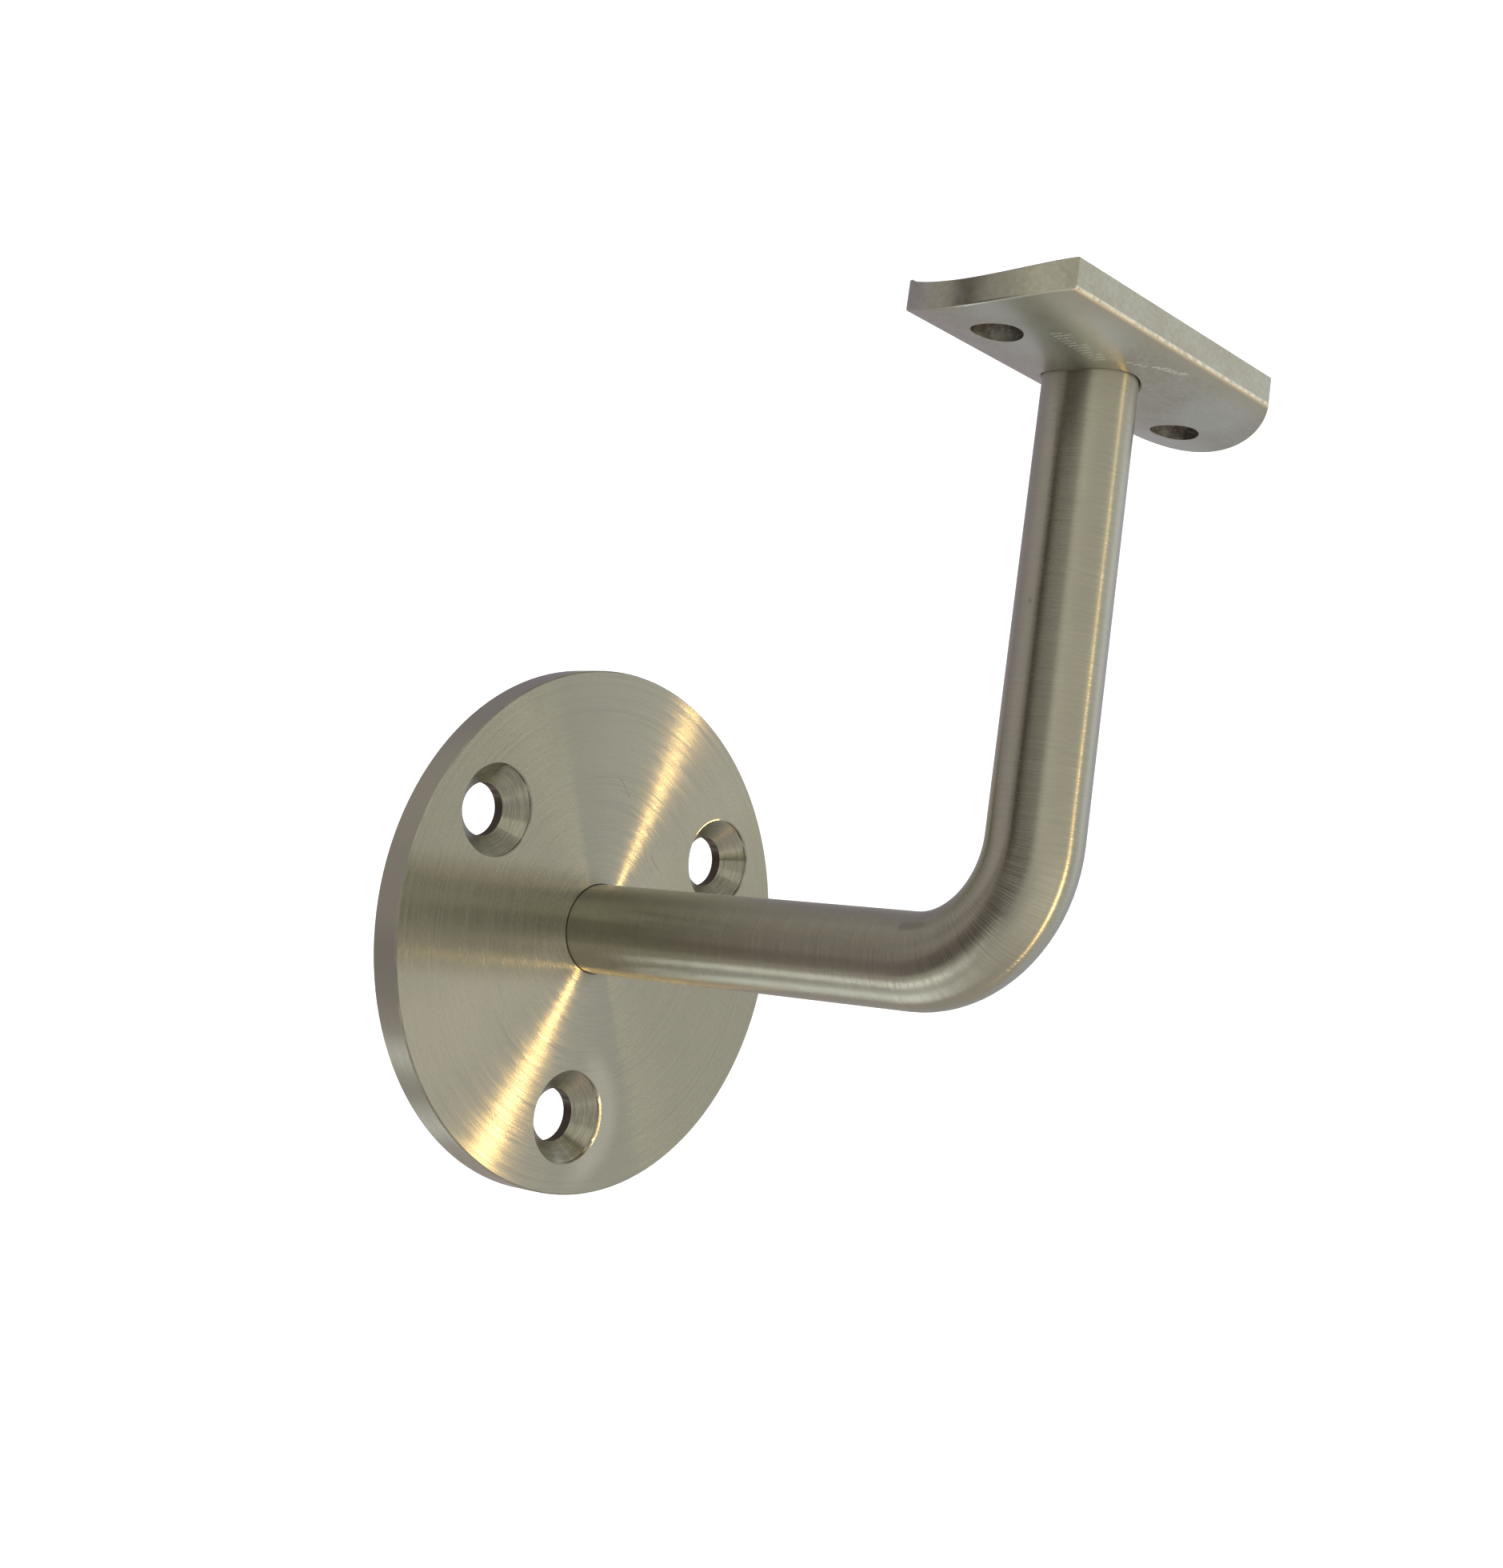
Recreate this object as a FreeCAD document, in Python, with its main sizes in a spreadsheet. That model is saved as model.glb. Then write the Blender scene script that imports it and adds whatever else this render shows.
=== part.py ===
import FreeCAD, Part
import os
from math import hypot

import Sketcher

# Handrail bracket: a round wall plate, a bent round arm and a curved rail saddle.
#
# Frame: the origin is the centre of the wall plate's back face. +Y points into the wall, -Y out into
# the room, +Z up and X along the handrail. All sizes are millimetres.

# Driving dimensions. Every size below is read from here and nowhere else.
SIZES = {
    # Wall plate: a turned disc with countersunk screw holes on a circle.
    "plate_diameter": 70.0,
    "plate_thickness": 4.5,
    "plate_edge_break": 0.2,
    "wall_screw_count": 3,
    "wall_screw_circle_diameter": 50.0,
    "wall_screw_hole_diameter": 7.0,
    "wall_screw_head_diameter": 12.0,
    "wall_screw_head_recess": 0.45,
    "wall_screw_head_edge_break": 0.15,
    "wall_screw_head_angle": 90.0,
    # Arm: round bar, square out of the plate and bent up to the saddle.
    "bar_diameter": 12.0,
    "bend_radius": 15.5,
    "wall_to_riser_axis": 74.5,
    "riser_height": 72.0,
    # Rail saddle: a curved pad for a round rail, with two screw holes.
    "rail_diameter": 42.4,
    "saddle_thickness": 3.5,
    "saddle_length": 58.0,
    "saddle_width": 24.5,
    "saddle_end_radius": 14.5,
    "saddle_side_rounding": 0.7,
    "saddle_end_rounding": 0.3,
    "saddle_top_edge_break": 0.2,
    "rail_screw_spacing": 40.0,
    "rail_screw_hole_diameter": 6.3,
    # Joints: the bar stands in a bore in each end piece, under a plug weld ground flush.
    "bar_bore_clearance": 0.1,
    "bore_mouth_chamfer": 0.25,
    "plate_weld_depth": 1.2,
    "saddle_weld_depth": 1.2,
    # How far cutting outlines run past the metal they cut.
    "cut_overrun": 2.0,
}

# Lengths that several pieces share, worked out from the driving dimensions.
BAR_RADIUS = "Sizes.bar_diameter / 2"
BORE_RADIUS = "(Sizes.bar_diameter / 2 + Sizes.bar_bore_clearance)"
PLATE_RADIUS = "Sizes.plate_diameter / 2"
SCREW_CIRCLE_RADIUS = "Sizes.wall_screw_circle_diameter / 2"
RAIL_RADIUS = "Sizes.rail_diameter / 2"
UNDERSIDE_RADIUS = "(Sizes.rail_diameter / 2 + Sizes.saddle_thickness)"
HALF_WIDTH = "Sizes.saddle_width / 2"
END_ARC_CENTRE = "(Sizes.saddle_length / 2 - Sizes.saddle_end_radius)"
END_CORNER = (
    f"({END_ARC_CENTRE} + sqrt(Sizes.saddle_end_radius ^ 2 - (Sizes.saddle_width / 2) ^ 2))"
)

# How a sketch numbers a line's or an arc's points.
START, END, CENTRE = range(1, 4)

FULL_TURN = 360.0
# Points nearer than this to a face, in millimetres, lie on it.
TOUCH = 1e-4
# Points looked at along each edge when edges are picked.
EDGE_SAMPLES = 5


def new_sizes_sheet(document):
    """The spreadsheet that holds one cell, with an alias, for each driving dimension."""
    sheet = document.addObject("Spreadsheet::Sheet", "Sizes")
    for row, (alias, value) in enumerate(SIZES.items(), start=1):
        sheet.set(f"A{row}", alias)
        sheet.set(f"B{row}", str(value))
        sheet.setAlias(f"B{row}", alias)
    document.recompute()
    return sheet


def new_body(document, label):
    body = document.addObject("PartDesign::Body", label)
    body.Label = label
    return body


def new_sketch(body, name, plane_role, offset=None):
    """A sketch on one of the body's origin planes, moved along its normal by an expression."""
    sketch = body.newObject("Sketcher::SketchObject", name)
    plane = next(item for item in body.Origin.OriginFeatures if item.Role == plane_role)
    sketch.AttachmentSupport = [(plane, "")]
    sketch.MapMode = "FlatFace"
    if offset:
        sketch.setExpression("AttachmentOffset.Base.z", offset)
    return sketch


def length_of(thing, expression):
    """The plain number that an expression gives."""
    result = thing.evalExpression(expression)
    return float(getattr(result, "Value", result))


def bind(sketch, constraint, name, expression):
    """Add a dimension to a sketch and tie it to the sizes."""
    index = sketch.addConstraint(constraint)
    sketch.renameConstraint(index, name)
    sketch.setExpression(f"Constraints.{name}", expression)


def place_along(sketch, kind, geometry, end, name, expression):
    """Fix one coordinate of a point, measured with its sign from the sketch's origin."""
    constraint = Sketcher.Constraint(kind, geometry, end, length_of(sketch, expression))
    bind(sketch, constraint, name, expression)


def place_across(sketch, geometry, end, name, expression):
    place_along(sketch, "DistanceX", geometry, end, name, expression)


def place_up(sketch, geometry, end, name, expression):
    place_along(sketch, "DistanceY", geometry, end, name, expression)


def point_at(sketch, across, up):
    return FreeCAD.Vector(length_of(sketch, across), length_of(sketch, up), 0)


def draw_outline(sketch, corners):
    """A closed outline of straight lines through corners given as pairs of expressions."""
    points = [point_at(sketch, across, up) for across, up in corners]
    count = len(points)
    lines = [
        sketch.addGeometry(Part.LineSegment(points[i], points[(i + 1) % count]), False)
        for i in range(count)
    ]
    for i in range(count):
        following = lines[(i + 1) % count]
        sketch.addConstraint(Sketcher.Constraint("Coincident", lines[i], END, following, START))
    for i, (across, up) in enumerate(corners):
        place_across(sketch, lines[i], START, f"across_{i}", across)
        place_up(sketch, lines[i], START, f"up_{i}", up)


def draw_circle(sketch, name, across, up, radius):
    centre = point_at(sketch, across, up)
    size = length_of(sketch, radius)
    circle = sketch.addGeometry(Part.Circle(centre, FreeCAD.Vector(0, 0, 1), size), False)
    place_across(sketch, circle, CENTRE, f"{name}_across", across)
    place_up(sketch, circle, CENTRE, f"{name}_up", up)
    bind(sketch, Sketcher.Constraint("Radius", circle, size), f"{name}_radius", radius)


def draw_arc(sketch, centre, start, end):
    """An arc that runs counter-clockwise from start to end about a centre."""
    reach = start - centre
    finish = end - centre
    circle = Part.Circle(centre, FreeCAD.Vector(0, 0, 1), reach.Length)
    first = FreeCAD.Vector(1, 0, 0).getAngle(reach) * (1 if reach.y >= 0 else -1)
    last = FreeCAD.Vector(1, 0, 0).getAngle(finish) * (1 if finish.y >= 0 else -1)
    return sketch.addGeometry(Part.ArcOfCircle(circle, first, last), False)


def named_edges(feature, belongs):
    """The names of the edges whose sample points all pass a test."""
    names = []
    for number, edge in enumerate(feature.Shape.Edges, start=1):
        if all(belongs(point) for point in edge.discretize(Number=EDGE_SAMPLES)):
            names.append(f"Edge{number}")
    if not names:
        raise RuntimeError(f"no edges found on {feature.Label}")
    return names


def round_edges(body, kind, name, base, belongs, size_property, size):
    """A Fillet or Chamfer on the base's edges that pass a test."""
    feature = body.newObject(kind, name)
    feature.Base = (base, named_edges(base, belongs))
    feature.setExpression(size_property, size)
    body.Document.recompute()
    return feature


# Wall plate


def draw_plate_section(sketch):
    """Half the disc's section, from the bar's bore out to the rim, in the Y-Z plane."""
    edge_break = "Sizes.plate_edge_break"
    front = "-Sizes.plate_thickness"
    corners = [
        ("0", BORE_RADIUS),
        ("0", f"{PLATE_RADIUS} - {edge_break}"),
        (f"-{edge_break}", PLATE_RADIUS),
        (f"{front} + {edge_break}", PLATE_RADIUS),
        (front, f"{PLATE_RADIUS} - {edge_break}"),
        (front, BORE_RADIUS),
    ]
    draw_outline(sketch, corners)


def draw_screw_hole_section(sketch):
    """Half the section of the lowest screw hole: a broken edge, a lip, a cone and a plain hole."""
    head_radius = "Sizes.wall_screw_head_diameter / 2"
    hole_radius = "Sizes.wall_screw_hole_diameter / 2"
    cone_depth = f"({head_radius} - {hole_radius}) / tan(Sizes.wall_screw_head_angle * 1 deg / 2)"
    mouth_radius = f"{head_radius} + Sizes.wall_screw_head_edge_break"
    front = "-Sizes.plate_thickness"
    outside = f"{front} - Sizes.cut_overrun"
    lip_top = f"{front} + Sizes.wall_screw_head_edge_break"
    lip_bottom = f"{front} + Sizes.wall_screw_head_recess"
    cone_bottom = f"{lip_bottom} + {cone_depth}"
    behind = "Sizes.cut_overrun"
    axis_height = f"-{SCREW_CIRCLE_RADIUS}"
    corners = [
        (behind, axis_height),
        (outside, axis_height),
        (outside, f"{axis_height} + {mouth_radius}"),
        (front, f"{axis_height} + {mouth_radius}"),
        (lip_top, f"{axis_height} + {head_radius}"),
        (lip_bottom, f"{axis_height} + {head_radius}"),
        (cone_bottom, f"{axis_height} + {hole_radius}"),
        (behind, f"{axis_height} + {hole_radius}"),
    ]
    draw_outline(sketch, corners)


def make_wall_plate(document):
    body = new_body(document, "wall_plate")
    section = new_sketch(body, "plate_section", "YZ_Plane")
    draw_plate_section(section)
    disc = body.newObject("PartDesign::Revolution", "plate_disc")
    disc.Profile = section
    disc.ReferenceAxis = (section, ["H_Axis"])
    disc.Angle = FULL_TURN
    document.recompute()

    hole_section = new_sketch(body, "wall_screw_hole_section", "YZ_Plane")
    draw_screw_hole_section(hole_section)
    hole = body.newObject("PartDesign::Groove", "wall_screw_hole")
    hole.Profile = hole_section
    hole.ReferenceAxis = (hole_section, ["Edge1"])
    hole.Angle = FULL_TURN
    document.recompute()

    holes = body.newObject("PartDesign::PolarPattern", "wall_screw_holes")
    holes.Originals = [hole]
    holes.Axis = (section, ["H_Axis"])
    holes.Angle = FULL_TURN
    holes.setExpression("Occurrences", "Sizes.wall_screw_count")
    body.Tip = holes
    document.recompute()
    return body


# Arm


def draw_arm_path(sketch):
    """The bar's centre line in the Y-Z plane: out from the plate, a bend, then up."""
    inner_end = "-Sizes.plate_weld_depth"
    riser = "-Sizes.wall_to_riser_axis"
    bend_start = f"{riser} + Sizes.bend_radius"
    top = "Sizes.riser_height + Sizes.saddle_thickness - Sizes.saddle_weld_depth"
    bend = "Sizes.bend_radius"
    level_run = sketch.addGeometry(
        Part.LineSegment(point_at(sketch, inner_end, "0"), point_at(sketch, bend_start, "0")), False
    )
    elbow = draw_arc(
        sketch,
        point_at(sketch, bend_start, bend),
        point_at(sketch, riser, bend),
        point_at(sketch, bend_start, "0"),
    )
    riser_run = sketch.addGeometry(
        Part.LineSegment(point_at(sketch, riser, bend), point_at(sketch, riser, top)), False
    )
    sketch.addConstraint(Sketcher.Constraint("Horizontal", level_run))
    sketch.addConstraint(Sketcher.Constraint("Vertical", riser_run))
    sketch.addConstraint(Sketcher.Constraint("Tangent", level_run, END, elbow, END))
    sketch.addConstraint(Sketcher.Constraint("Tangent", elbow, START, riser_run, START))
    place_across(sketch, level_run, START, "inner_end", inner_end)
    place_up(sketch, level_run, START, "level", "0")
    place_across(sketch, riser_run, END, "riser_axis", riser)
    place_up(sketch, riser_run, END, "riser_top", top)
    size = length_of(sketch, bend)
    bind(sketch, Sketcher.Constraint("Radius", elbow, size), "bend_radius", bend)


def make_arm(document):
    body = new_body(document, "arm")
    path = new_sketch(body, "arm_path", "YZ_Plane")
    draw_arm_path(path)
    section = new_sketch(body, "bar_section", "XZ_Plane", "Sizes.plate_weld_depth")
    draw_circle(section, "bar", "0", "0", BAR_RADIUS)
    document.recompute()
    bar = body.newObject("PartDesign::AdditivePipe", "bent_bar")
    bar.Profile = section
    bar.Spine = (path, ["Edge1", "Edge2", "Edge3"])
    document.recompute()
    return body


# Rail saddle, drawn about its own origin: the riser's axis at the underside's lowest line


def seat_on_riser(body):
    """Put a body that is drawn about the top of the riser in its place."""
    body.setExpression("Placement.Base.y", "-Sizes.wall_to_riser_axis")
    body.setExpression("Placement.Base.z", "Sizes.riser_height")


def draw_saddle_plan(sketch):
    """The saddle seen from above: two straight long sides and two arc ends."""
    right_top = point_at(sketch, END_CORNER, HALF_WIDTH)
    right_bottom = point_at(sketch, END_CORNER, f"-{HALF_WIDTH}")
    left_top = point_at(sketch, f"-{END_CORNER}", HALF_WIDTH)
    left_bottom = point_at(sketch, f"-{END_CORNER}", f"-{HALF_WIDTH}")
    right_arc = draw_arc(sketch, point_at(sketch, END_ARC_CENTRE, "0"), right_bottom, right_top)
    back = sketch.addGeometry(Part.LineSegment(right_top, left_top), False)
    left_arc = draw_arc(sketch, point_at(sketch, f"-{END_ARC_CENTRE}", "0"), left_top, left_bottom)
    front = sketch.addGeometry(Part.LineSegment(left_bottom, right_bottom), False)
    chain = [right_arc, back, left_arc, front]
    for i, piece in enumerate(chain):
        following = chain[(i + 1) % len(chain)]
        sketch.addConstraint(Sketcher.Constraint("Coincident", piece, END, following, START))
    sketch.addConstraint(Sketcher.Constraint("Horizontal", back))
    sketch.addConstraint(Sketcher.Constraint("Horizontal", front))
    place_up(sketch, back, START, "back_side", HALF_WIDTH)
    place_up(sketch, front, START, "front_side", f"-{HALF_WIDTH}")
    for name, arc, centre in (
        ("right_end", right_arc, END_ARC_CENTRE),
        ("left_end", left_arc, f"-{END_ARC_CENTRE}"),
    ):
        place_across(sketch, arc, CENTRE, f"{name}_centre", centre)
        place_up(sketch, arc, CENTRE, f"{name}_level", "0")
        size = length_of(sketch, "Sizes.saddle_end_radius")
        bind(sketch, Sketcher.Constraint("Radius", arc, size), f"{name}_radius",
             "Sizes.saddle_end_radius")


def draw_underside_cut(sketch):
    """The metal below the convex underside, in the Y-Z plane: a block with a round top."""
    below = "-Sizes.cut_overrun"
    left = f"-{UNDERSIDE_RADIUS}"
    left_rim = point_at(sketch, left, UNDERSIDE_RADIUS)
    right_rim = point_at(sketch, UNDERSIDE_RADIUS, UNDERSIDE_RADIUS)
    left_foot = point_at(sketch, left, below)
    right_foot = point_at(sketch, UNDERSIDE_RADIUS, below)
    arc = draw_arc(sketch, point_at(sketch, "0", UNDERSIDE_RADIUS), left_rim, right_rim)
    right_side = sketch.addGeometry(Part.LineSegment(right_rim, right_foot), False)
    floor = sketch.addGeometry(Part.LineSegment(right_foot, left_foot), False)
    left_side = sketch.addGeometry(Part.LineSegment(left_foot, left_rim), False)
    chain = [arc, right_side, floor, left_side]
    for i, piece in enumerate(chain):
        following = chain[(i + 1) % len(chain)]
        sketch.addConstraint(Sketcher.Constraint("Coincident", piece, END, following, START))
    sketch.addConstraint(Sketcher.Constraint("Vertical", right_side))
    sketch.addConstraint(Sketcher.Constraint("Horizontal", floor))
    place_across(sketch, arc, CENTRE, "rail_axis", "0")
    place_up(sketch, arc, CENTRE, "rail_height", UNDERSIDE_RADIUS)
    place_across(sketch, arc, END, "right_rim", UNDERSIDE_RADIUS)
    place_up(sketch, arc, END, "right_rim_height", UNDERSIDE_RADIUS)
    place_up(sketch, arc, START, "left_rim_height", UNDERSIDE_RADIUS)
    place_up(sketch, floor, START, "below", below)
    place_across(sketch, left_side, START, "left_foot", left)


def cut_through(body, name, sketch):
    """A pocket that runs right through the body, both ways from its sketch."""
    pocket = body.newObject("PartDesign::Pocket", name)
    pocket.Profile = sketch
    pocket.Type = "ThroughAll"
    pocket.Midplane = True
    body.Document.recompute()
    return pocket


def cut_rail_seat(body):
    """Cut away what the rail takes: a full circle of the rail's size, resting on the saddle."""
    circle = new_sketch(body, f"{body.Label}_rail_circle", "YZ_Plane")
    draw_circle(circle, "rail", "0", UNDERSIDE_RADIUS, RAIL_RADIUS)
    return cut_through(body, f"{body.Label}_rail_seat", circle)


def saddle_face_tests(body):
    """Tests that tell whether a point lies on one of the saddle's faces, for picking its edges."""
    rail_height = length_of(body, UNDERSIDE_RADIUS)
    seat_radius = length_of(body, RAIL_RADIUS)
    half_width = length_of(body, HALF_WIDTH)
    end_centre = length_of(body, END_ARC_CENTRE)
    end_radius = length_of(body, "Sizes.saddle_end_radius")
    bore_radius = length_of(body, BORE_RADIUS)

    def close(first, second):
        return abs(first - second) < TOUCH

    def on_underside(point):
        return close(hypot(point.y, point.z - rail_height), rail_height)

    def on_seat(point):
        return close(hypot(point.y, point.z - rail_height), seat_radius)

    def on_side(point):
        return close(abs(point.y), half_width)

    def on_end(point):
        return close(hypot(abs(point.x) - end_centre, point.y), end_radius)

    def on_bore(point):
        return close(hypot(point.x, point.y), bore_radius)

    return on_underside, on_seat, on_side, on_end, on_bore


def make_rail_saddle(document):
    body = new_body(document, "rail_saddle")
    plan = new_sketch(body, "saddle_plan", "XY_Plane")
    draw_saddle_plan(plan)
    block = body.newObject("PartDesign::Pad", "saddle_block")
    block.Profile = plan
    block.setExpression("Length", UNDERSIDE_RADIUS)
    document.recompute()

    underside = new_sketch(body, "underside_cut", "YZ_Plane")
    draw_underside_cut(underside)
    cut_through(body, "convex_underside", underside)
    seat = cut_rail_seat(body)

    on_underside, on_seat, on_side, on_end, on_bore = saddle_face_tests(body)
    sides = round_edges(body, "PartDesign::Fillet", "side_rounding", seat,
                        lambda point: on_underside(point) and on_side(point),
                        "Radius", "Sizes.saddle_side_rounding")
    ends = round_edges(body, "PartDesign::Fillet", "end_rounding", sides,
                       lambda point: on_underside(point) and on_end(point),
                       "Radius", "Sizes.saddle_end_rounding")
    round_edges(body, "PartDesign::Chamfer", "top_edge_break", ends, on_seat,
                "Size", "Sizes.saddle_top_edge_break")

    bar_circle = new_sketch(body, "saddle_bore_circle", "XY_Plane")
    draw_circle(bar_circle, "bore", "0", "0", BORE_RADIUS)
    bore = cut_through(body, "saddle_bore", bar_circle)
    round_edges(body, "PartDesign::Chamfer", "saddle_bore_mouth", bore,
                lambda point: on_underside(point) and on_bore(point),
                "Size", "Sizes.bore_mouth_chamfer")

    screw_circles = new_sketch(body, "rail_screw_circles", "XY_Plane")
    hole_radius = "Sizes.rail_screw_hole_diameter / 2"
    draw_circle(screw_circles, "right", "Sizes.rail_screw_spacing / 2", "0", hole_radius)
    draw_circle(screw_circles, "left", "-Sizes.rail_screw_spacing / 2", "0", hole_radius)
    cut_through(body, "rail_screw_holes", screw_circles)
    seat_on_riser(body)
    document.recompute()
    return body


# Plug welds


def make_plate_weld(document):
    """The weld that fills the plate's bore behind the bar, flush with the back face."""
    body = new_body(document, "plate_weld")
    circle = new_sketch(body, "plate_weld_circle", "XZ_Plane")
    draw_circle(circle, "weld", "0", "0", BORE_RADIUS)
    plug = body.newObject("PartDesign::Pad", "plate_weld_plug")
    plug.Profile = circle
    plug.setExpression("Length", "Sizes.plate_weld_depth")
    document.recompute()
    return body


def make_saddle_weld(document):
    """The weld that fills the saddle's bore above the bar, ground to the curve of the seat."""
    body = new_body(document, "saddle_weld")
    bar_top = "Sizes.saddle_thickness - Sizes.saddle_weld_depth"
    circle = new_sketch(body, "saddle_weld_circle", "XY_Plane", bar_top)
    draw_circle(circle, "weld", "0", "0", BORE_RADIUS)
    plug = body.newObject("PartDesign::Pad", "saddle_weld_plug")
    plug.Profile = circle
    plug.setExpression("Length", f"Sizes.saddle_weld_depth + {BORE_RADIUS}")
    document.recompute()
    cut_rail_seat(body)
    seat_on_riser(body)
    document.recompute()
    return body


def check_document(document):
    for thing in document.Objects:
        if "Invalid" in thing.State or "Error" in thing.State:
            raise RuntimeError(f"{thing.Name} failed: {thing.State}")


def write_pieces(bodies):
    os.makedirs("parts", exist_ok=True)
    for body in bodies:
        shape = body.Shape
        if shape.isNull() or not shape.isValid() or len(shape.Solids) != 1:
            raise RuntimeError(f"{body.Label} isn't one valid solid")
        print(body.Label, "volume", round(shape.Volume, 2), "mm3")
    for body in bodies:
        body.Shape.exportStep(os.path.join("parts", body.Label + ".step"))


def main():
    document = FreeCAD.newDocument("handrail_bracket")
    new_sizes_sheet(document)
    makers = (make_wall_plate, make_arm, make_rail_saddle, make_plate_weld, make_saddle_weld)
    bodies = [make(document) for make in makers]
    document.recompute()
    check_document(document)
    write_pieces(bodies)


main()
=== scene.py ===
from math import cos, pi, radians, sin

import bpy
from mathutils import Matrix, Vector


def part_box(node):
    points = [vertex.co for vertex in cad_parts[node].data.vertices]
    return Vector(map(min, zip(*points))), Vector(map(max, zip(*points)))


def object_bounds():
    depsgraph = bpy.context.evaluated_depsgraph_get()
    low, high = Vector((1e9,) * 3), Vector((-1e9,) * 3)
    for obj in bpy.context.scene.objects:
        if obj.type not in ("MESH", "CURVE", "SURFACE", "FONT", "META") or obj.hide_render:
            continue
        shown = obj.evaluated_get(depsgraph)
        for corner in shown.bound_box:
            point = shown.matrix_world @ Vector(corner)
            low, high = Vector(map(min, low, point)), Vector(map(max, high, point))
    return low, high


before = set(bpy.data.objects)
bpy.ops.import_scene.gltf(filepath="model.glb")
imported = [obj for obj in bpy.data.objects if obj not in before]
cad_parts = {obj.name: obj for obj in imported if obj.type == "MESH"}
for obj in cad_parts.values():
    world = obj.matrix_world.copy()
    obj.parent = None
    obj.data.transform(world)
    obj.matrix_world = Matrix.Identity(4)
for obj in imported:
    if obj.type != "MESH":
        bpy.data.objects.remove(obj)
cad_low, cad_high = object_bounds()

# Handrail bracket in satin stainless steel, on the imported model's own nodes. Lengths are metres.
MM = 0.001

# Sizes that the node boxes don't give, as in the part's source.
BEND_RADIUS = 15.5 * MM
SCREW_CIRCLE_RADIUS = 25.0 * MM
SCREW_ANGLES = (-90, 30, 150)
WALL_HOLE_RADIUS = 3.5 * MM
RAIL_HOLE_RADIUS = 3.15 * MM
RAIL_SCREW_SPACING = 40.0 * MM
UNDERSIDE_RADIUS = 24.7 * MM

arm_low, arm_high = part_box("arm")
BAR_RADIUS = arm_high.x
RISER_Y = arm_low.y + BAR_RADIUS
PLATE_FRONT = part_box("wall_plate")[0].y
RAIL_AXIS_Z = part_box("rail_saddle")[0].z + UNDERSIDE_RADIUS
BEND_CENTRE = Vector((0, RISER_Y + BEND_RADIUS, BEND_RADIUS))
WALL_HOLES = [
    Vector((SCREW_CIRCLE_RADIUS * cos(radians(angle)), 0, SCREW_CIRCLE_RADIUS * sin(radians(angle))))
    for angle in SCREW_ANGLES
]
RAIL_HOLES = [Vector((side * RAIL_SCREW_SPACING / 2, RISER_Y, 0)) for side in (-1, 1)]

# The photograph's camera: its place, its turns and its lens in the picture's own pixels.
PHOTO_WIDTH = 1879
PHOTO_HEIGHT = 1960
CAMERA_PLACE = Vector((-225.488, -233.643, -14.444)) * MM
CAMERA_YAW = radians(-48.6)
CAMERA_PITCH = radians(13.692)
CAMERA_ROLL = radians(8.329)
FOCAL_PIXELS = 2897.64
OPTICAL_CENTRE = (1037.72, 628.36)
SENSOR = 36.0

# Studio: a round tent of grey cloth about the bracket, a white floor and one small warm lamp.
TENT_RADIUS = 1.0
TENT_SEGMENTS = 96
FLOOR_HEIGHT = -0.93
FLOOR_SIZE = 30.0
FLOOR_TONE = (0.88, 0.88, 0.88)
WORLD_TONE = (1.0, 1.0, 1.0)
WORLD_STRENGTH = 1.3
LAMP_AZIMUTH = radians(-53.2)
LAMP_ELEVATION = radians(-22.0)
LAMP_DISTANCE = 0.9
LAMP_RADIUS = 0.026
LAMP_POWER = 0.93
LAMP_COLOUR = (1.0, 0.64, 0.25)
# The tent's cloths, each a row of tones by azimuth in degrees, 0 along +X and 90 along +Y.
CEILING_TONES = (
    (-180, (0.52, 0.49, 0.44)),
    (-160, (0.58, 0.55, 0.50)),
    (-151, (0.60, 0.57, 0.50)),
    (-143, (0.76, 0.74, 0.64)),
    (-125, (0.67, 0.64, 0.57)),
    (-105, (0.56, 0.54, 0.49)),
    (-63, (0.49, 0.50, 0.46)),
    (-61, (1.60, 1.42, 1.06)),
    (-57, (1.60, 1.42, 1.06)),
    (-55, (0.56, 0.57, 0.52)),
    (-25, (0.90, 0.91, 0.93)),
    (-8, (0.84, 0.85, 0.89)),
    (2, (0.58, 0.59, 0.65)),
    (30, (0.52, 0.51, 0.56)),
    (42, (0.35, 0.33, 0.36)),
    (60, (0.29, 0.26, 0.31)),
    (90, (0.33, 0.30, 0.33)),
    (125, (0.48, 0.44, 0.43)),
    (143, (0.46, 0.42, 0.40)),
    (145, (0.03, 0.03, 0.03)),
    (158, (0.03, 0.03, 0.03)),
    (164, (0.20, 0.18, 0.15)),
    (172, (0.40, 0.37, 0.33)),
)
LEVEL_TONES = (
    (-180, (0.12, 0.10, 0.10)),
    (-163, (0.15, 0.13, 0.13)),
    (-150, (0.18, 0.16, 0.15)),
    (-143, (0.44, 0.42, 0.38)),
    (-136, (0.68, 0.66, 0.59)),
    (-110, (0.54, 0.52, 0.46)),
    (-70, (0.53, 0.51, 0.45)),
    (-63, (0.48, 0.48, 0.43)),
    (-61, (1.25, 1.06, 0.76)),
    (-57, (1.25, 1.06, 0.76)),
    (-54, (0.53, 0.51, 0.45)),
    (-40, (0.49, 0.50, 0.50)),
    (-24, (0.80, 0.81, 0.84)),
    (-5, (0.54, 0.55, 0.59)),
    (20, (0.40, 0.40, 0.44)),
    (36, (0.46, 0.44, 0.48)),
    (44, (0.38, 0.35, 0.39)),
    (60, (0.40, 0.35, 0.39)),
    (95, (0.37, 0.33, 0.35)),
    (125, (0.42, 0.38, 0.39)),
    (154, (0.41, 0.36, 0.35)),
    (159, (0.07, 0.05, 0.05)),
    (165, (0.07, 0.05, 0.05)),
    (173, (0.10, 0.08, 0.08)),
)
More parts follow.
